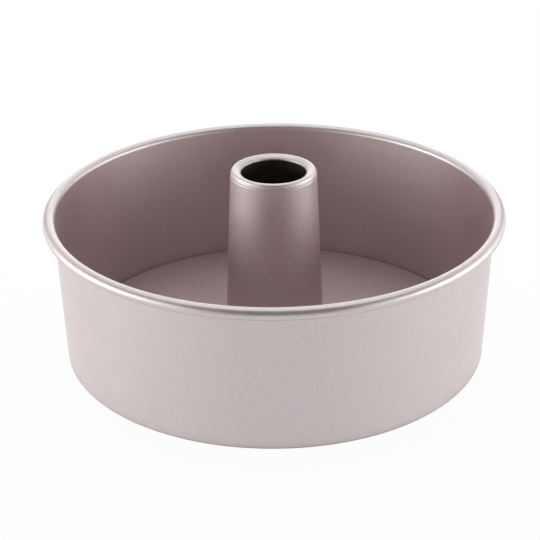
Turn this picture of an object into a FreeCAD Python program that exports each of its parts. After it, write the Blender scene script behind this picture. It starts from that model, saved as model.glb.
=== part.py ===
import FreeCAD, Part
import math
import os

# Two-piece angel food cake pan, all sizes in millimetres. +Z is up, the origin is the
# centre of the circle that the pan stands on, and every piece is a sheet or a wire turned
# about Z. The wall ring stays on the table; the insert (plate and tube) lifts out of it.

# --- wall ring ---
MOUTH_DIAMETER = 254.0          # clear width inside the rolled rim: the 10 inch nominal size
PAN_HEIGHT = 89.0               # table to the top of the rolled rim: 3 1/2 inches
SIDE_SHEET = 1.0                # sheet of the wall ring
WALL_TAPER_DEG = 2.3            # lean of the wall, wider at the mouth
BASE_CORNER_RADIUS = 1.5        # outside radius where the wall turns into the ledge
LEDGE_OVERLAP = 8.0             # how far the loose plate lies over the ledge

# --- rolled rim and its wire ---
RIM_BEAD_DIAMETER = 7.0         # outside of the rolled rim
WIRE_CLEARANCE = 0.05           # between the wire and the sheet rolled round it
CURL_END_GAP = 0.15             # between the rolled edge and the wall it returns to

# --- how round the bends are ---
SEEN_STEP_DEG = 45.0            # a bend is short flats, of about this turn where it shows
HIDDEN_STEP_DEG = 72.0          # and of this turn on the face that is covered
WIRE_SIDES = 6

# --- loose plate ---
PLATE_SHEET = 1.0
PLATE_EDGE_GAP = 0.1            # from the plate's edge to where the ledge begins to bend up
PLATE_SEAT_GAP = 0.1            # coating and play between plate and ledge
BOSS_RISE = 1.6                 # raised middle that keeps the seam off the table
BOSS_TOP_RADIUS = 36.0          # where the raised middle begins to fall to the floor
BOSS_SLOPE_DEG = 40.0

# --- tube ---
TUBE_SHEET = 0.8
TUBE_HEIGHT = 111.3             # table to the crest of the lip
TUBE_FOOT_RADIUS = 29.4         # outside, where the tube passes through the plate
TUBE_TAPER_DEG = 2.5            # narrower at the top, so the cake lets go
THROAT_RADIUS = 18.9            # the hole seen from above
LIP_BEND_RADIUS = 2.4           # round outer shoulder of the lip
LIP_FALL_DEG = 20.0             # how steeply the lip falls inward behind its crest
THROAT_BEND_RADIUS = 1.3        # the lip's edge, turned down into the hole

# --- crimped seam between tube and plate ---
SEAM_CLEARANCE = 0.05           # tube to the plate's hole, flange and locking bead
SEAM_FLANGE_WIDTH = 4.0         # tube edge flared under the plate
SEAM_BEND_RADIUS = 0.3
LOCK_BEAD_RADIUS = 1.2          # ring swaged outward on top of the plate
LOCK_BEAD_TURN_DEG = 50.0


def flats_in(turn_deg, step_deg):
    """How many flats a bend is made of."""
    return max(1, round(abs(turn_deg) / step_deg))


class SheetStrip:
    """The cut through a bent sheet in the XZ plane.

    The strip is walked along its near face, by straight runs and bends. The sheet lies to
    the left of the walk. Headings are degrees from +X towards +Z. The corners of a bend's
    flats lie on its true arc, with more flats on a face that shows than on a covered one.
    """

    def __init__(self, x, z, heading_deg, sheet):
        self.x = x
        self.z = z
        self.heading = heading_deg
        self.sheet = sheet
        self.near = []
        self.far = []
        self.mark()

    def mark(self):
        """Keep the corners of both faces at the place that the walk has reached."""
        angle = math.radians(self.heading)
        across = FreeCAD.Vector(-math.sin(angle), 0, math.cos(angle)) * self.sheet
        place = FreeCAD.Vector(self.x, 0, self.z)
        self.near.append(place)
        self.far.append(place + across)

    def run(self, length):
        """A straight run."""
        angle = math.radians(self.heading)
        self.x += length * math.cos(angle)
        self.z += length * math.sin(angle)
        self.mark()

    def run_to_x(self, x):
        """A straight run that ends at a given radius."""
        self.run((x - self.x) / math.cos(math.radians(self.heading)))

    def run_to_z(self, z):
        """A straight run that ends at a given height."""
        self.run((z - self.z) / math.sin(math.radians(self.heading)))

    def bend(self, radius, turn_deg, near_step=SEEN_STEP_DEG, far_step=HIDDEN_STEP_DEG):
        """A tangent bend, left if the turn is positive. The radius is the near face's.

        With no far step the far face stays straight there.
        """
        start = math.radians(self.heading)
        side = math.copysign(radius, turn_deg)
        centre_x = self.x - side * math.sin(start)
        centre_z = self.z + side * math.cos(start)
        for corners, reach, step in (
            (self.near, side, near_step),
            (self.far, side - self.sheet, far_step),
        ):
            flats = flats_in(turn_deg, step) if step else 0
            for flat in range(1, flats + 1):
                angle = start + math.radians(turn_deg) * flat / flats
                x = centre_x + reach * math.sin(angle)
                z = centre_z - reach * math.cos(angle)
                corners.append(FreeCAD.Vector(x, 0, z))
        self.x = self.near[-1].x
        self.z = self.near[-1].z
        self.heading += turn_deg

    def solid(self):
        """The sheet turned once round Z."""
        return turned(self.near + self.far[::-1])


def turned(corners):
    """A closed outline in the XZ plane, turned once round Z."""
    outline = Part.makePolygon(corners + corners[:1])
    origin = FreeCAD.Vector(0, 0, 0)
    up = FreeCAD.Vector(0, 0, 1)
    return Part.Face(outline).revolve(origin, up, 360)


# --- places worked out from the sizes above ---
RIM_BEAD_RADIUS = RIM_BEAD_DIAMETER / 2
RIM_CENTRE_RADIUS = MOUTH_DIAMETER / 2 + RIM_BEAD_RADIUS
RIM_CENTRE_HEIGHT = PAN_HEIGHT - RIM_BEAD_RADIUS
WIRE_SEAT_RADIUS = RIM_BEAD_RADIUS - SIDE_SHEET
# The roll stops just before its outer face would meet the wall again.
CLOSING_COSINE = (WIRE_SEAT_RADIUS - CURL_END_GAP) / RIM_BEAD_RADIUS
CURL_TURN_DEG = 360 - math.degrees(math.acos(CLOSING_COSINE))

WALL_TAPER = math.radians(WALL_TAPER_DEG)
WALL_TOP_RADIUS = RIM_CENTRE_RADIUS - WIRE_SEAT_RADIUS * math.cos(WALL_TAPER)
WALL_TOP_HEIGHT = RIM_CENTRE_HEIGHT + WIRE_SEAT_RADIUS * math.sin(WALL_TAPER)


def wall_outside_radius(height):
    """Radius of the leaning wall's outer face at a height."""
    return WALL_TOP_RADIUS - (WALL_TOP_HEIGHT - height) * math.tan(WALL_TAPER)


# The corner's arc is tangent to the table and to the wall's outer face. The plate lies on
# the flat of the ledge, inside that corner.
CORNER_TURN_DEG = 90 - WALL_TAPER_DEG
CORNER_WIDTH = BASE_CORNER_RADIUS * math.tan(math.radians(CORNER_TURN_DEG) / 2)
CORNER_START_RADIUS = wall_outside_radius(0) - CORNER_WIDTH
PLATE_RADIUS = CORNER_START_RADIUS - PLATE_EDGE_GAP
PLATE_BOTTOM = SIDE_SHEET + PLATE_SEAT_GAP
PLATE_TOP = PLATE_BOTTOM + PLATE_SHEET
BOSS_TOP = PLATE_TOP + BOSS_RISE
LEDGE_RADIUS = PLATE_RADIUS - LEDGE_OVERLAP
PLATE_HOLE_RADIUS = TUBE_FOOT_RADIUS + SEAM_BEND_RADIUS + SEAM_CLEARANCE


def make_side_wall():
    """Ledge, base corner, leaning wall and the rim rolled outward, all one sheet."""
    strip = SheetStrip(LEDGE_RADIUS, 0, 0, SIDE_SHEET)
    strip.run_to_x(CORNER_START_RADIUS)
    strip.bend(BASE_CORNER_RADIUS, CORNER_TURN_DEG)
    strip.run_to_z(WALL_TOP_HEIGHT)
    strip.bend(WIRE_SEAT_RADIUS, -CURL_TURN_DEG, HIDDEN_STEP_DEG, SEEN_STEP_DEG)
    return strip.solid()


def make_rim_wire():
    """Steel wire ring inside the rolled rim, clear of the flats that the roll is made of."""
    seat_flats = flats_in(CURL_TURN_DEG, HIDDEN_STEP_DEG)
    half_flat = math.radians(CURL_TURN_DEG / seat_flats / 2)
    wire_radius = WIRE_SEAT_RADIUS * math.cos(half_flat) - WIRE_CLEARANCE
    corners = []
    for side in range(WIRE_SIDES):
        angle = 2 * math.pi * side / WIRE_SIDES
        x = RIM_CENTRE_RADIUS + wire_radius * math.cos(angle)
        z = RIM_CENTRE_HEIGHT + wire_radius * math.sin(angle)
        corners.append(FreeCAD.Vector(x, 0, z))
    return turned(corners)


def make_base_plate():
    """Loose flat disc with a raised middle and the hole that the tube stands in."""
    strip = SheetStrip(PLATE_RADIUS, PLATE_TOP, 180, PLATE_SHEET)
    # A slope between two creases. Each crease's corners lie on the line that halves it.
    slope = math.radians(BOSS_SLOPE_DEG)
    crease_shift = PLATE_SHEET * math.tan(slope / 2)
    boss_foot = BOSS_TOP_RADIUS + BOSS_RISE / math.tan(slope)
    for x, z in ((boss_foot, PLATE_TOP), (BOSS_TOP_RADIUS, BOSS_TOP)):
        strip.near.append(FreeCAD.Vector(x, 0, z))
        strip.far.append(FreeCAD.Vector(x - crease_shift, 0, z - PLATE_SHEET))
    strip.x = BOSS_TOP_RADIUS
    strip.z = BOSS_TOP
    strip.run_to_x(PLATE_HOLE_RADIUS)
    return strip.solid()


def make_centre_tube():
    """Tube crimped to the plate, tapering up to a lip that is curled inward."""
    flange_top = PLATE_BOTTOM + BOSS_RISE - SEAM_CLEARANCE
    flange_edge = TUBE_FOOT_RADIUS + SEAM_FLANGE_WIDTH
    strip = SheetStrip(flange_edge, flange_top, 180, TUBE_SHEET)
    # Flared flange under the plate, neck through the hole, locking bead above it.
    strip.run_to_x(TUBE_FOOT_RADIUS + SEAM_BEND_RADIUS)
    strip.bend(SEAM_BEND_RADIUS, -90, HIDDEN_STEP_DEG)
    strip.near.append(FreeCAD.Vector(TUBE_FOOT_RADIUS, 0, BOSS_TOP + SEAM_CLEARANCE))
    strip.z = BOSS_TOP + SEAM_CLEARANCE
    bead_turn_last = TUBE_TAPER_DEG - LOCK_BEAD_TURN_DEG
    for turn in (-LOCK_BEAD_TURN_DEG, 2 * LOCK_BEAD_TURN_DEG, bead_turn_last):
        strip.bend(LOCK_BEAD_RADIUS, turn, HIDDEN_STEP_DEG, None)
    # Long taper up to the lip.
    lip_start = TUBE_HEIGHT - LIP_BEND_RADIUS * (1 - math.sin(math.radians(TUBE_TAPER_DEG)))
    strip.run_to_z(lip_start)
    # Shoulder over the crest, a short fall inward, then down into the hole.
    strip.bend(LIP_BEND_RADIUS, 90 - TUBE_TAPER_DEG + LIP_FALL_DEG)
    fall_end = THROAT_RADIUS + THROAT_BEND_RADIUS * (1 - math.sin(math.radians(LIP_FALL_DEG)))
    strip.run_to_x(fall_end)
    strip.bend(THROAT_BEND_RADIUS, 90 - LIP_FALL_DEG)
    return strip.solid()


def main():
    os.makedirs("parts", exist_ok=True)
    pieces = {
        "side_wall": make_side_wall(),
        "rim_wire": make_rim_wire(),
        "base_plate": make_base_plate(),
        "centre_tube": make_centre_tube(),
    }
    for node, shape in pieces.items():
        box = shape.BoundBox
        shape.exportStep("parts/" + node + ".step")
        print(node, shape.isValid(), len(shape.Solids), round(shape.Volume, 1),
              "r", round(box.XMax, 3), "z", round(box.ZMin, 3), round(box.ZMax, 3))


main()
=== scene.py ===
import math

import bpy
import numpy as np
from bpy.props import FloatProperty, FloatVectorProperty, PointerProperty
from bpy.types import Operator, Panel, PropertyGroup
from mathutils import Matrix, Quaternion, Vector


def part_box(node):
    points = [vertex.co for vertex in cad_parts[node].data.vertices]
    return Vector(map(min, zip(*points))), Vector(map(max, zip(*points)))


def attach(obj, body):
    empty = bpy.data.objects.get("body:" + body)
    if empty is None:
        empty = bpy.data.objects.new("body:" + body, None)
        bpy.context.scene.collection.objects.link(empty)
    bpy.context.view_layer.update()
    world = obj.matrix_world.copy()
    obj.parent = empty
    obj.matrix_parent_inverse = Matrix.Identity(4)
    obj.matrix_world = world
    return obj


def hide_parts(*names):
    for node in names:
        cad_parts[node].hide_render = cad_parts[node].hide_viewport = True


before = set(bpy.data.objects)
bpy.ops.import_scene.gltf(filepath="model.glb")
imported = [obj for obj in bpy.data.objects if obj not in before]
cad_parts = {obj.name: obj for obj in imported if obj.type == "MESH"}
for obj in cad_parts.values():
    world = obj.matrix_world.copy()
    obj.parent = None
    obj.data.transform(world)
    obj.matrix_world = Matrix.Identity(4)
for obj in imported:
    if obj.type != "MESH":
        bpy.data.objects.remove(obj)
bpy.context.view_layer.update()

bl_info = {
    "name": "Angel food cake pan",
    "version": (1, 0, 0),
    "blender": (4, 5, 0),
    "location": "3D View > Sidebar > Cake pan",
    "description": "Two-piece tube pan in satin coated steel, with its stage",
    "category": "Object",
}

MM = 0.001
WHITE = (1.0, 1.0, 1.0)
PHOTO_WIDTH_PX = 540
SENSOR_MM = 36.0


# ---------------------------------------------------------------- sizes and finishes


def length_prop(name, description, millimetres):
    """A size of the pan, shown in the scene's length unit."""
    return FloatProperty(
        name=name, description=description, default=millimetres * MM,
        min=0.0, precision=5, subtype="DISTANCE", unit="LENGTH",
    )


def angle_prop(name, description, degrees):
    """An angle of the pan."""
    return FloatProperty(
        name=name, description=description, default=math.radians(degrees),
        subtype="ANGLE", unit="ROTATION",
    )


def share_prop(name, description, share, top=1.0):
    """A plain number from 0 to a top."""
    return FloatProperty(
        name=name, description=description, default=share, min=0.0, max=top, precision=3,
    )


def colour_prop(name, description, rgb):
    """A linear colour."""
    return FloatVectorProperty(
        name=name, description=description, default=rgb, min=0.0, max=1.0,
        size=3, subtype="COLOR",
    )


class WallRingSizes(PropertyGroup):
    """Sheet ring that stays on the table: ledge, wall and rolled rim."""

    sheet: length_prop("Sheet", "Thickness of the ring's sheet", 1.0)
    lean: angle_prop("Lean", "Lean of the wall, wider at the mouth", 2.3)
    base_corner: length_prop("Base corner", "Outside radius from the wall to the ledge", 1.5)
    ledge_overlap: length_prop("Ledge overlap", "How far the plate lies over the ledge", 8.0)
    bead: length_prop("Rim bead", "Outside diameter of the rolled rim", 7.0)
    wire_play: length_prop("Wire play", "Gap between the wire and the roll", 0.1)
    roll_gap: length_prop("Roll gap", "From the rolled edge to the wall", 0.6)


class PlateSizes(PropertyGroup):
    """Loose plate with its raised middle."""

    sheet: length_prop("Sheet", "Thickness of the plate", 1.0)
    boss_radius: length_prop("Boss radius", "Where the raised middle begins to fall", 36.0)
    boss_slope: angle_prop("Boss slope", "Steepness of the raised middle's edge", 40.0)
    crease: length_prop("Crease", "Radius of the bends at the boss's edge", 1.2)
    hole_play: length_prop("Hole play", "From the tube's neck to the plate's hole", 0.35)


class TubeSizes(PropertyGroup):
    """Tapering centre tube with its lip and its crimped foot."""

    sheet: length_prop("Sheet", "Thickness of the tube's sheet", 0.8)
    flange: length_prop("Flange", "Width of the edge flared under the plate", 4.0)
    neck_bend: length_prop("Neck bend", "Bend between the flange and the neck", 0.3)
    lock_bead: length_prop("Lock bead", "Radius of the ring swaged above the plate", 1.2)
    lock_turn: angle_prop("Lock turn", "How far the lock bead's sides turn", 50.0)
    taper: angle_prop("Taper", "Lean of the tube, narrower at the top", 2.5)
    throat: length_prop("Throat", "Radius of the hole seen from above", 18.9)
    shoulder: length_prop("Shoulder", "Outer bend of the lip", 2.4)
    lip_fall: angle_prop("Lip fall", "How steeply the lip falls behind its crest", 20.0)
    throat_bend: length_prop("Throat bend", "Bend of the lip's edge into the hole", 0.8)
    collar_drop: length_prop("Collar drop", "From the crest to the lip's lower step", 3.5)
    collar_width: length_prop("Collar width", "Between the lip's two steps", 1.9)
    collar_step: length_prop("Collar step", "How far each step is pressed in", 0.16)


class FinishValues(PropertyGroup):
    """Colours and gloss of the coat and the stage."""

    coat: colour_prop("Coat", "Rose taupe body of the coat", (0.285, 0.102, 0.106))
    outside: colour_prop(
        "Outside", "Body of the coat outside and on the rim", (0.255, 0.128, 0.132))
    # Painted light: the plate's colour is a lighter copy of the coat, standing in for more
    # light falling on the plate.
    plate: colour_prop("Plate", "Body of the coat on the plate", (0.34, 0.151, 0.155))
    # Painted shade: the tube's colour is a darker copy of the coat, standing in for less light
    # falling on the tube.
    tube: colour_prop("Tube", "Body of the coat on the tube", (0.225, 0.08, 0.083))
    flake: colour_prop("Flake", "Pale flakes in the coat", (0.60, 0.50, 0.50))
    flake_share: share_prop("Flake share", "How much the flakes show", 0.2)
    bore: colour_prop("Bore", "Dark coat inside the tube", (0.2, 0.165, 0.15))
    steel: colour_prop("Wire", "Bare drawn steel", (0.56, 0.57, 0.58))
    floor: colour_prop("Floor", "Table and backdrop", (0.9, 0.9, 0.9))
    metal: share_prop("Metal", "How metallic the coat's body is", 0.05)
    gloss_index: FloatProperty(
        name="Gloss index", description="Refractive index that gives the coat's neutral gloss",
        default=5.2, min=1.0,
    )
    roughness: share_prop("Roughness", "Roughness of the satin coat", 0.47)
    top_coat: share_prop("Top coat", "How strong the clear top layer is", 1.0)
    top_roughness: share_prop("Top roughness", "Roughness of the clear top layer", 0.37)


class StageLevels(PropertyGroup):
    """Light and camera."""

    lamps: share_prop("Lamps", "Share of each softbox's own level", 1.0, top=5.0)
    sky: share_prop("Sky", "Strength of the even light from all round", 0.05, top=5.0)
    white_share: share_prop("White", "How much of the floor seen is plain white", 0.96)
    focal_px: FloatProperty(
        name="Focal length", description="In pixels of the photograph's width",
        default=1570.0, min=100.0,
    )
    camera_roll: angle_prop("Camera roll", "Tilt of the horizon", -0.594)


# ---------------------------------------------------------------- surfaces


class SheetLine:
    """The middle line of a bent sheet, walked in the (radius, height) plane.

    A straight run adds points at a fixed spacing, and one close to each end, so that the
    shading turns only at the bends. A bend of radius R adds the points c + R n(a) while the
    heading a turns evenly. Headings are radians from +radius towards +height. The sheet's
    faces lie half a thickness to each side of the line.
    """

    STEP = math.radians(6.0)    # turn between the points of a bend
    SPACING = 4 * MM            # between the points of a straight run
    SUPPORT = 0.25 * MM         # from each end of a run to the point close to it
    CAP_POINTS = 5              # on each round cut edge

    def __init__(self, radius, height, heading, sheet):
        self.place = np.array([radius, height])
        self.heading = heading
        self.sheet = sheet
        self.places = [self.place[None]]
        self.headings = [np.array([heading])]

    def ahead(self):
        """The way the line heads, as a unit vector."""
        return np.array([math.cos(self.heading), math.sin(self.heading)])

    def add(self, places, headings):
        """Adds points, and goes on from the last of them."""
        self.places.append(places)
        self.headings.append(headings)
        self.place = places[-1]

    def run(self, length):
        """A straight run."""
        count = max(1, round(length / self.SPACING))
        along = np.linspace(0, length, count + 1)
        if length > 3 * self.SUPPORT:
            along = np.sort(np.append(along, [self.SUPPORT, length - self.SUPPORT]))
        along = along[1:]
        self.add(self.place + along[:, None] * self.ahead(), np.full(len(along), self.heading))
        return self

    def run_to_radius(self, radius):
        return self.run((radius - self.place[0]) / math.cos(self.heading))

    def run_to_height(self, height):
        return self.run((height - self.place[1]) / math.sin(self.heading))

    def run_finely(self, height, spacing):
        """A straight run to a height, with closely spaced points for pressed-in detail."""
        count = math.ceil(abs(height - self.place[1]) / spacing)
        start = self.place
        length = (height - start[1]) / math.sin(self.heading)
        along = length * np.arange(1, count + 1) / count
        self.add(start + along[:, None] * self.ahead(), np.full(count, self.heading))
        return self

    def bend(self, radius, turn, step=STEP):
        """A tangent bend of the middle line, left if the turn is positive."""
        count = max(2, math.ceil(abs(turn) / step))
        side = math.copysign(radius, turn)
        left = np.array([-math.sin(self.heading), math.cos(self.heading)])
        centre = self.place + side * left
        headings = self.heading + turn * np.arange(1, count + 1) / count
        places = centre + side * np.stack([np.sin(headings), -np.cos(headings)], axis=1)
        self.add(places, headings)
        self.heading += turn
        return self

    def outline(self, sink=None):
        """Closed outline: right face, round cut edge, left face back, round cut edge.

        sink gives how far the right face is pressed in at each height. The second array
        is 0 on the right face, rises to 1 over its cut edge, and is 1 on the left face.
        """
        places = np.concatenate(self.places)
        headings = np.concatenate(self.headings)
        left = np.stack([-np.sin(headings), np.cos(headings)], axis=1) * self.sheet / 2
        right_face = places - left
        if sink:
            depth = sink(right_face[:, 1])
            right_face = right_face + left * (depth / (self.sheet / 2))[:, None]
        share = np.arange(1, self.CAP_POINTS + 1) / (self.CAP_POINTS + 1)
        caps = []
        for end, first in ((-1, -np.pi / 2), (0, np.pi / 2)):
            angle = headings[end] + first + np.pi * share
            ring = np.stack([np.cos(angle), np.sin(angle)], axis=1)
            caps.append(places[end] + ring * self.sheet / 2)
        inner = np.concatenate([
            np.zeros(len(places)), share, np.ones(len(places)), share[::-1],
        ])
        return np.concatenate([right_face, caps[0], (places + left)[::-1], caps[1]]), inner


RING_STEPS = 288    # points once round the axis, for the wall ring and the plate
TUBE_STEPS = 224    # and for the tube
WIRE_SIDES = 16     # points round the wire's own thickness


def lathe(name, outline, inner=None, around=RING_STEPS):
    """The surface (r cos t, r sin t, z) of a closed outline (r, z), for t once round.

    The outline runs with the sheet on its left, so every face points out of the sheet.
    inner, one value for each point of the outline, becomes the attribute of that name.
    """
    turn = 2 * np.pi * np.arange(around) / around
    radius, height = outline[:, 0], outline[:, 1]
    points = np.stack([
        radius[:, None] * np.cos(turn),
        radius[:, None] * np.sin(turn),
        np.broadcast_to(height[:, None], (len(outline), around)),
    ], axis=2).reshape(-1, 3)
    row = np.arange(len(outline))[:, None]
    column = np.arange(around)[None]
    next_row = (row + 1) % len(outline)
    next_column = (column + 1) % around
    faces = np.stack([
        row * around + column,
        row * around + next_column,
        next_row * around + next_column,
        next_row * around + column,
    ], axis=2).reshape(-1, 4)
    mesh = bpy.data.meshes.new(name)
    mesh.vertices.add(len(points))
    mesh.vertices.foreach_set("co", points.astype(np.float32).ravel())
    mesh.loops.add(faces.size)
    mesh.loops.foreach_set("vertex_index", faces.ravel().astype(np.int32))
    mesh.polygons.add(len(faces))
    mesh.polygons.foreach_set("loop_start", np.arange(0, faces.size, 4, dtype=np.int32))
    mesh.polygons.foreach_set("use_smooth", np.ones(len(faces), dtype=bool))
    mesh.update(calc_edges=True)
    if inner is not None:
        attribute = mesh.attributes.new("inner", "FLOAT", "POINT")
        attribute.data.foreach_set("value", np.repeat(inner, around).astype(np.float32))
    if mesh.validate():
        raise RuntimeError("the lathed mesh " + name + " isn't sound")
    piece = bpy.data.objects.new(name, mesh)
    bpy.context.scene.collection.objects.link(piece)
    return piece


def dress(piece, material, body, node):
    """Gives a piece its finish, ties it to its CAD body, and hides the CAD node that it stands
    for.
    """
    piece.data.materials.append(material)
    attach(piece, body)
    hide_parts(node)


# ---------------------------------------------------------------- shader maths


class Socket:
    """A node's output socket. Arithmetic on it adds Math nodes to its tree."""

    def __init__(self, tree, socket):
        self.tree = tree
        self.socket = socket

    @staticmethod
    def node(tree, kind, settings=None, inputs=None, output=0):
        """Adds a node: its settings first, then the values or links of its sockets."""
        made = tree.nodes.new(kind)
        for name, value in (settings or {}).items():
            setattr(made, name, value)
        for key, value in (inputs or {}).items():
            if isinstance(value, Socket):
                tree.links.new(value.socket, made.inputs[key])
            else:
                made.inputs[key].default_value = value
        return Socket(tree, made.outputs[output] if made.outputs else None)

    def math(self, operation, *values):
        inputs = dict(enumerate(values))
        return Socket.node(self.tree, "ShaderNodeMath", {"operation": operation}, inputs)

    def __add__(self, other):
        return self.math("ADD", self, other)

    def __sub__(self, other):
        return self.math("SUBTRACT", self, other)

    def __rsub__(self, other):
        return self.math("SUBTRACT", other, self)

    def __mul__(self, other):
        return self.math("MULTIPLY", self, other)

    __radd__ = __add__
    __rmul__ = __mul__

    def spread(self, low, high, to_low=0.0, to_high=1.0):
        """Maps low..high to to_low..to_high smoothly, held at both ends."""
        return Socket.node(
            self.tree, "ShaderNodeMapRange", {"interpolation_type": "SMOOTHSTEP"},
            {
                "Value": self, "From Min": low, "From Max": high,
                "To Min": to_low, "To Max": to_high,
            },
        )


def rgba(colour):
    """The colour with an alpha of 1, as colour sockets take it."""
    return (*colour, 1.0)


def blank_tree(owner):
    """The empty node tree of a material or a world."""
    owner.use_nodes = True
    owner.node_tree.nodes.clear()
    return owner.node_tree


def finish_material(tree, shader):
    """Adds the output node, fed by the shader."""
    Socket.node(tree, "ShaderNodeOutputMaterial", None, {"Surface": shader})


def noise(tree, place, lumps, detail):
    """Grey noise, 0 to 1, at so many lumps to the metre."""
    return Socket.node(
        tree, "ShaderNodeTexNoise", {"noise_dimensions": "3D"},
        {"Vector": place, "Scale": lumps, "Detail": detail},
    )


def mix_colour(tree, factor, first, second):
    """Mixes two colours. A Mix node takes colours at 6 and 7, and gives one at output 2."""
    return Socket.node(
        tree, "ShaderNodeMix", {"data_type": "RGBA", "clamp_factor": True},
        {0: factor, 6: first, 7: second}, output=2,
    )


# ---------------------------------------------------------------- finishes


# Lumps to the metre and levels of detail of each noise.
FLAKES = (1000.0, 1.0)
CLOUDING = (40.0, 4.0)
ORANGE_PEEL = (420.0, 2.0)
SCRATCHES = (900.0, 3.0)

FLAKE_EDGE = (0.42, 0.6)         # noise at which a flake begins, and at which it is full
CLOUD_TINT = 0.2                 # how far the clouding shifts the coat to the flakes' colour
CLOUD_ROUGHNESS = 0.1            # and how far it changes the roughness
BUMP_STRENGTH = 0.3
BUMP_DEPTH = 0.1 * MM
SIDE_CHANGE = (0.05, 0.35)       # inner attribute where the inner coat begins, and is full
BARE_ROUGHNESS = 0.2             # added where the gloss is left out
BARE_TOP_COAT = 0.1              # strength of the clear layer left there
SCRATCH_SHADE = 0.8              # of the wire's scratches, as a share of the steel
WIRE_ROUGHNESS = (0.28, 0.15)    # of the plain wire, and what the scratches add
FLOOR_ROUGHNESS = 0.9
SHADOW_REACH = (0.25, 0.8)       # metres from the axis over which the floor turns plain white
CONTACT_REACH = (0.1235, 0.129)  # metres from the axis over which the contact shadow ends
CONTACT_WHITE = 0.2              # share of plain white that mirror rays see in it


def satin_coat(name, values, body, inner_body=None, bare_inside=False):
    """Satin non-stick coat: fine pale flakes, faint clouding and a little orange peel.

    inner_body is the colour of the sheet's inner side, told by its inner attribute.
    bare_inside leaves that side without the gloss.
    """
    material = bpy.data.materials.new(name)
    tree = blank_tree(material)
    place = Socket.node(tree, "ShaderNodeTexCoord", output="Object")
    flake = noise(tree, place, *FLAKES).spread(*FLAKE_EDGE)
    cloud = noise(tree, place, *CLOUDING)
    peel = noise(tree, place, *ORANGE_PEEL)
    inner = None
    colour = rgba(body)
    if inner_body:
        inner = Socket.node(
            tree, "ShaderNodeAttribute", {"attribute_name": "inner"}, output="Fac",
        ).spread(*SIDE_CHANGE)
        colour = mix_colour(tree, inner, colour, rgba(inner_body))
    flakes = flake * values.flake_share + (cloud - 0.5) * CLOUD_TINT
    metal = values.metal
    rough = values.roughness + (cloud - 0.5) * CLOUD_ROUGHNESS
    top_coat = values.top_coat
    if bare_inside:
        coated = 1.0 - inner
        flakes = flakes * coated
        metal = inner.spread(0.0, 1.0, values.metal, 1.0)
        rough = rough + inner * BARE_ROUGHNESS
        top_coat = coated.spread(0.0, 1.0, BARE_TOP_COAT, values.top_coat)
    colour = mix_colour(tree, flakes, colour, rgba(values.flake))
    relief = peel * 0.5 + flake * 0.5
    bump = Socket.node(
        tree, "ShaderNodeBump", None,
        {"Strength": BUMP_STRENGTH, "Distance": BUMP_DEPTH, "Height": relief},
    )
    finish_material(tree, Socket.node(
        tree, "ShaderNodeBsdfPrincipled", None,
        {
            "Base Color": colour, "Metallic": metal, "Roughness": rough, "Normal": bump,
            "IOR": values.gloss_index, "Coat Weight": top_coat,
            "Coat Roughness": values.top_roughness,
        },
    ))
    return material


def drawn_wire(name, values):
    """Bare wire with fine scratches round it."""
    material = bpy.data.materials.new(name)
    tree = blank_tree(material)
    place = Socket.node(tree, "ShaderNodeTexCoord", output="Object")
    scratch = noise(tree, place, *SCRATCHES)
    dark_steel = [part * SCRATCH_SHADE for part in values.steel]
    colour = mix_colour(tree, scratch, rgba(dark_steel), rgba(values.steel))
    plain, added = WIRE_ROUGHNESS
    finish_material(tree, Socket.node(
        tree, "ShaderNodeBsdfPrincipled", None,
        {"Base Color": colour, "Metallic": 1.0, "Roughness": plain + scratch * added},
    ))
    return material


def pale_floor(name, values, white_share):
    """White floor: camera and mirror rays see mostly plain white, so the shadow stays faint.

    Away from the pan they see only plain white, so the floor has no edge to be seen. Close
    to the circle that the pan stands on, mirror rays see the floor's contact shadow.
    """
    material = bpy.data.materials.new(name)
    tree = blank_tree(material)
    rays = Socket.node(tree, "ShaderNodeLightPath").socket.node.outputs
    place = Socket.node(tree, "ShaderNodeTexCoord", output="Object")
    away = Socket.node(
        tree, "ShaderNodeVectorMath", {"operation": "LENGTH"}, {0: place}, output="Value")
    plain = away.spread(*SHADOW_REACH, white_share, 1.0)
    mirror = Socket(tree, rays["Is Glossy Ray"]) + Socket(tree, rays["Is Transmission Ray"])
    contact = away.spread(*CONTACT_REACH, CONTACT_WHITE, 1.0)
    seen = Socket(tree, rays["Is Camera Ray"]) + mirror * contact
    lit = Socket.node(
        tree, "ShaderNodeBsdfPrincipled", None,
        {"Base Color": rgba(values.floor), "Roughness": FLOOR_ROUGHNESS},
    )
    white = Socket.node(
        tree, "ShaderNodeEmission", None, {"Color": rgba(WHITE), "Strength": 1.0})
    finish_material(tree, Socket.node(
        tree, "ShaderNodeMixShader", None, {0: seen * plain, 1: lit, 2: white},
    ))
    return material


# ---------------------------------------------------------------- pieces


INNER_MARGIN = 0.05 * MM           # how far out over the roll the inner side's coat reaches
LIP_FINE_FROM = 1.0 * MM           # where fine points begin, below the lip's lower step
LIP_FINE_SPACING = 0.06 * MM
SHOULDER_STEP = math.radians(1.5)
COLLAR_RAMP = 0.4 * MM             # height over which each of the lip's steps goes in
COLLAR_END = (1.2 * MM, 0.9 * MM)  # where the steps fade out, below the crest, and how soon


def roll_turn(sizes):
    """How far the rim's sheet rolls before its edge comes within the gap of the wall.

    With R the roll's outer radius, R cos(turn) = R - sheet - gap, in the last quarter turn.
    """
    outer = sizes.bead / 2
    return 2 * math.pi - math.acos((outer - sizes.sheet - sizes.roll_gap) / outer)


def rim_centre(sizes):
    """Middle of the rolled rim, (radius, height), from the CAD piece's box."""
    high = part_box("side_wall")[1]
    return high.x - sizes.bead / 2, high.z - sizes.bead / 2


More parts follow.
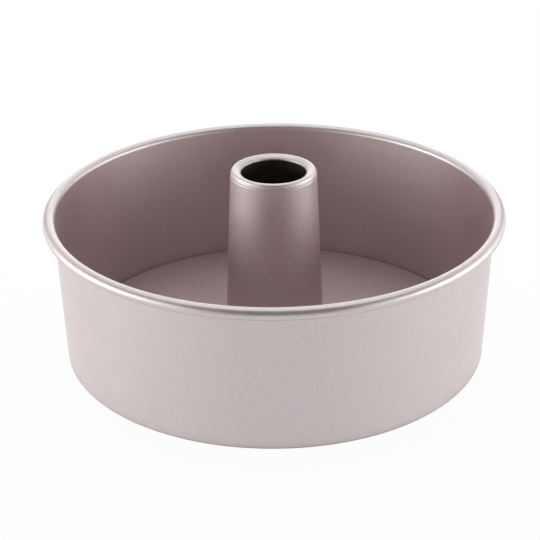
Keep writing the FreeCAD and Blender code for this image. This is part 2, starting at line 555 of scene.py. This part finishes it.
class PAN_OT_side_wall(Operator):
    """Builds the wall ring: ledge, base corner, leaning wall and rolled rim"""

    bl_idname = "cake_pan.side_wall"
    bl_label = "Wall ring"

    def execute(self, context):
        sizes = context.scene.cake_pan_ring
        centre_radius, centre_height = rim_centre(sizes)
        half = sizes.sheet / 2
        roll = sizes.bead / 2 - half
        # The wall's middle line is tangent to the roll's, and to the base corner's.
        top_radius = centre_radius - roll * math.cos(sizes.lean)
        top_height = centre_height + roll * math.sin(sizes.lean)
        base_radius = top_radius - (top_height - half) * math.tan(sizes.lean)
        corner = sizes.base_corner - half
        corner_turn = math.pi / 2 - sizes.lean
        plate_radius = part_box("base_plate")[1].x
        line = SheetLine(plate_radius - sizes.ledge_overlap + half, half, 0.0, sizes.sheet)
        line.run_to_radius(base_radius - corner * math.tan(corner_turn / 2))
        line.bend(corner, corner_turn)
        line.run_to_height(top_height)
        line.bend(roll, -roll_turn(sizes))
        outline, inner = line.outline()
        # The roll wears the outer side's coat.
        inner = inner * (outline[:, 0] < centre_radius - sizes.bead / 2 + INNER_MARGIN)
        piece = lathe("wall_ring_sheet", outline, inner)
        finish = context.scene.cake_pan_finish
        coat = satin_coat("satin_coat_ring", finish, finish.outside, finish.coat)
        dress(piece, coat, "wall_ring", "side_wall")
        return {"FINISHED"}


class PAN_OT_rim_wire(Operator):
    """Builds the round wire inside the rolled rim"""

    bl_idname = "cake_pan.rim_wire"
    bl_label = "Rim wire"

    def execute(self, context):
        sizes = context.scene.cake_pan_ring
        centre_radius, centre_height = rim_centre(sizes)
        wire = sizes.bead / 2 - sizes.sheet - sizes.wire_play
        turn = 2 * np.pi * np.arange(WIRE_SIDES) / WIRE_SIDES
        ring = np.stack([np.cos(turn), np.sin(turn)], axis=1) * wire
        piece = lathe("rim_wire_ring", ring + (centre_radius, centre_height))
        steel = drawn_wire("drawn_wire_steel", context.scene.cake_pan_finish)
        dress(piece, steel, "wall_ring", "rim_wire")
        return {"FINISHED"}


class PAN_OT_base_plate(Operator):
    """Builds the loose plate with its raised middle"""

    bl_idname = "cake_pan.base_plate"
    bl_label = "Base plate"

    def execute(self, context):
        sizes = context.scene.cake_pan_plate
        tube = context.scene.cake_pan_tube
        low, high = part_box("base_plate")
        half = sizes.sheet / 2
        floor_height = low.z + half
        rise = high.z - half - floor_height
        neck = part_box("centre_tube")[1].x - tube.flange
        slope, crease = sizes.boss_slope, sizes.crease
        # Two equal bends with a short slope between them lift the middle by the boss's rise.
        slope_run = (rise - 2 * crease * (1 - math.cos(slope))) / math.sin(slope)
        boss_width = 2 * crease * math.sin(slope) + slope_run * math.cos(slope)
        line = SheetLine(high.x - half, floor_height, math.pi, sizes.sheet)
        line.run_to_radius(sizes.boss_radius + boss_width)
        line.bend(crease, -slope).run(slope_run).bend(crease, slope)
        line.run_to_radius(neck + sizes.hole_play + half)
        piece = lathe("base_plate_sheet", *line.outline())
        finish = context.scene.cake_pan_finish
        # The plate wears the coat's lighter copy, which is painted light.
        coat = satin_coat("satin_coat_plate_painted_light", finish, finish.plate)
        dress(piece, coat, "insert", "base_plate")
        return {"FINISHED"}


class PAN_OT_centre_tube(Operator):
    """Builds the centre tube: flange, neck, lock bead, long taper and lip"""

    bl_idname = "cake_pan.centre_tube"
    bl_label = "Centre tube"

    def execute(self, context):
        sizes = context.scene.cake_pan_tube
        low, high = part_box("centre_tube")
        half = sizes.sheet / 2
        neck = high.x - sizes.flange
        boss_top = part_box("base_plate")[1].z
        line = SheetLine(high.x - half, low.z + half, math.pi, sizes.sheet)
        line.run_to_radius(neck + sizes.neck_bend)
        line.bend(sizes.neck_bend + half, -math.pi / 2)
        line.run_to_height(boss_top)
        bulge = sizes.lock_bead + half
        line.bend(bulge, -sizes.lock_turn)
        line.bend(bulge, 2 * sizes.lock_turn)
        line.bend(bulge, sizes.taper - sizes.lock_turn)
        shoulder = sizes.shoulder - half
        shoulder_start = high.z - half - shoulder * (1 - math.sin(sizes.taper))
        lower_step = high.z - sizes.collar_drop
        line.run_to_height(lower_step - LIP_FINE_FROM)
        line.run_finely(shoulder_start, LIP_FINE_SPACING)
        line.bend(shoulder, math.pi / 2 - sizes.taper + sizes.lip_fall, SHOULDER_STEP)
        throat = sizes.throat_bend + half
        line.run_to_radius(sizes.throat + half + throat * (1 - math.sin(sizes.lip_fall)))
        line.bend(throat, math.pi / 2 - sizes.lip_fall)

        def smooth(height, start, width):
            """0 below start, 1 above start + width, and 3 r^2 - 2 r^3 at a share r between."""
            rise = np.clip((height - start) / width, 0, 1)
            return rise * rise * (3 - 2 * rise)

        def collar(height):
            """Two small steps inward below the crest, which stays where it is."""
            steps = sum(
                smooth(height, start, COLLAR_RAMP)
                for start in (lower_step, lower_step + sizes.collar_width)
            )
            end, fade = COLLAR_END
            return sizes.collar_step * steps * (1 - smooth(height, high.z - end, fade))

        piece = lathe("centre_tube_sheet", *line.outline(sink=collar), around=TUBE_STEPS)
        finish = context.scene.cake_pan_finish
        # The tube's outer side wears the coat's darker copy, which is painted shade; its inner
        # side wears the bore colour.
        coat = satin_coat("satin_coat_tube_painted_shade", finish, finish.tube, finish.bore, bare_inside=True)
        dress(piece, coat, "insert", "centre_tube")
        return {"FINISHED"}


# ---------------------------------------------------------------- stage


# Name, bearing in degrees from the camera's side, anticlockwise as seen from above, rise in
# degrees, width and height in metres, and level.
SOFTBOXES = (
    ("left", 273, 9, 1.0, 0.55, 7.8),
    ("left_front", 306, 10, 0.8, 0.6, 2.8),
    ("left_back", 238, 16, 1.0, 0.8, 1.4),
    ("right", 87, 9, 1.0, 0.55, 6.7),
    ("right_front", 54, 10, 0.8, 0.6, 2.0),
    ("right_back", 122, 16, 1.0, 0.8, 1.8),
    ("back", 180, 13, 1.4, 0.8, 2.2),
    ("back_high", 180, 42, 2.4, 0.8, 1.1),
    ("top", 180, 80, 2.3, 1.2, 1.75),
)
SOFTBOX_DISTANCE = 1.6
SOFTBOX_AIM = Vector((0.0, 0.0, 0.05))

FLOOR_REACH = 4.0
FLOOR_HEIGHT = -0.1 * MM    # just below the ledge's underside, which stands at 0
CAMERA_PLACE = Vector((0.0, -836.8, 459.8)) * MM
CAMERA_AIM = Vector((-2.66, 0.0, 46.05)) * MM
CAMERA_REACH = 50.0


def softbox(name, bearing, rise, width, height, level):
    """A rectangular lamp that faces the pan. At a level of 1 it is as bright as plain white."""
    bearing, rise = math.radians(bearing), math.radians(rise)
    away = Vector((
        math.sin(bearing) * math.cos(rise), -math.cos(bearing) * math.cos(rise), math.sin(rise),
    ))
    data = bpy.data.lights.new(name, "AREA")
    data.shape = "RECTANGLE"
    data.size = width
    data.size_y = height
    data.energy = level * math.pi * width * height
    lamp = bpy.data.objects.new(name, data)
    lamp.location = SOFTBOX_AIM + away * SOFTBOX_DISTANCE
    lamp.rotation_mode = "QUATERNION"
    lamp.rotation_quaternion = away.to_track_quat("Z", "Y")
    bpy.context.scene.collection.objects.link(lamp)


def light_world(world, level):
    """Even light from all round, which the camera sees as plain white."""
    tree = blank_tree(world)
    rays = Socket.node(tree, "ShaderNodeLightPath").socket.node.outputs
    camera = Socket(tree, rays["Is Camera Ray"])
    even = Socket.node(
        tree, "ShaderNodeBackground", None, {"Color": rgba(WHITE), "Strength": level})
    white = Socket.node(
        tree, "ShaderNodeBackground", None, {"Color": rgba(WHITE), "Strength": 1.0})
    mixed = Socket.node(tree, "ShaderNodeMixShader", None, {0: camera, 1: even, 2: white})
    Socket.node(tree, "ShaderNodeOutputWorld", None, {"Surface": mixed})


class PAN_OT_stage(Operator):
    """Sets the floor, the soft light and the camera"""

    bl_idname = "cake_pan.stage"
    bl_label = "Stage"

    def execute(self, context):
        scene = context.scene
        levels = scene.cake_pan_stage
        scene.view_settings.view_transform = "Standard"

        mesh = bpy.data.meshes.new("floor")
        corners = [
            (x * FLOOR_REACH, y * FLOOR_REACH, FLOOR_HEIGHT)
            for x, y in ((-1, -1), (1, -1), (1, 1), (-1, 1))
        ]
        mesh.from_pydata(corners, [], [(0, 1, 2, 3)])
        mesh.materials.append(
            pale_floor("pale_floor", scene.cake_pan_finish, levels.white_share))
        floor = bpy.data.objects.new("floor", mesh)
        scene.collection.objects.link(floor)

        for name, bearing, rise, width, height, level in SOFTBOXES:
            softbox("softbox_" + name, bearing, rise, width, height, level * levels.lamps)

        scene.world = scene.world or bpy.data.worlds.new("studio")
        light_world(scene.world, levels.sky)

        camera_data = bpy.data.cameras.new("camera")
        camera_data.sensor_width = SENSOR_MM
        camera_data.lens = levels.focal_px / PHOTO_WIDTH_PX * SENSOR_MM
        camera_data.clip_end = CAMERA_REACH
        camera = bpy.data.objects.new("camera", camera_data)
        level_view = (CAMERA_AIM - CAMERA_PLACE).to_track_quat("-Z", "Y")
        camera.location = CAMERA_PLACE
        camera.rotation_mode = "QUATERNION"
        camera.rotation_quaternion = level_view @ Quaternion((0, 0, 1), levels.camera_roll)
        scene.collection.objects.link(camera)
        scene.camera = camera
        return {"FINISHED"}


class PAN_PT_sidebar(Panel):
    """Lists the pan's pieces and its stage"""

    bl_idname = "PAN_PT_sidebar"
    bl_label = "Cake pan"
    bl_space_type = "VIEW_3D"
    bl_region_type = "UI"
    bl_category = "Cake pan"

    def draw(self, context):
        for operator in OPERATORS:
            self.layout.operator(operator.bl_idname)
        for slot in VALUE_GROUPS:
            box = self.layout.box()
            values = getattr(context.scene, slot)
            for name in values.__annotations__:
                box.prop(values, name)


VALUE_GROUPS = {
    "cake_pan_ring": WallRingSizes,
    "cake_pan_plate": PlateSizes,
    "cake_pan_tube": TubeSizes,
    "cake_pan_finish": FinishValues,
    "cake_pan_stage": StageLevels,
}
OPERATORS = (
    PAN_OT_side_wall, PAN_OT_rim_wire, PAN_OT_base_plate, PAN_OT_centre_tube, PAN_OT_stage,
)
CLASSES = (*VALUE_GROUPS.values(), *OPERATORS, PAN_PT_sidebar)


def register():
    """Adds the sizes, the operators and the panel."""
    for made in CLASSES:
        bpy.utils.register_class(made)
    for slot, group in VALUE_GROUPS.items():
        setattr(bpy.types.Scene, slot, PointerProperty(type=group))


def unregister():
    """Takes them out again."""
    for slot in VALUE_GROUPS:
        delattr(bpy.types.Scene, slot)
    for made in reversed(CLASSES):
        bpy.utils.unregister_class(made)


def main():
    register()
    for operator in OPERATORS:
        group, name = operator.bl_idname.split(".")
        getattr(getattr(bpy.ops, group), name)()


if __name__ == "__main__":
    main()
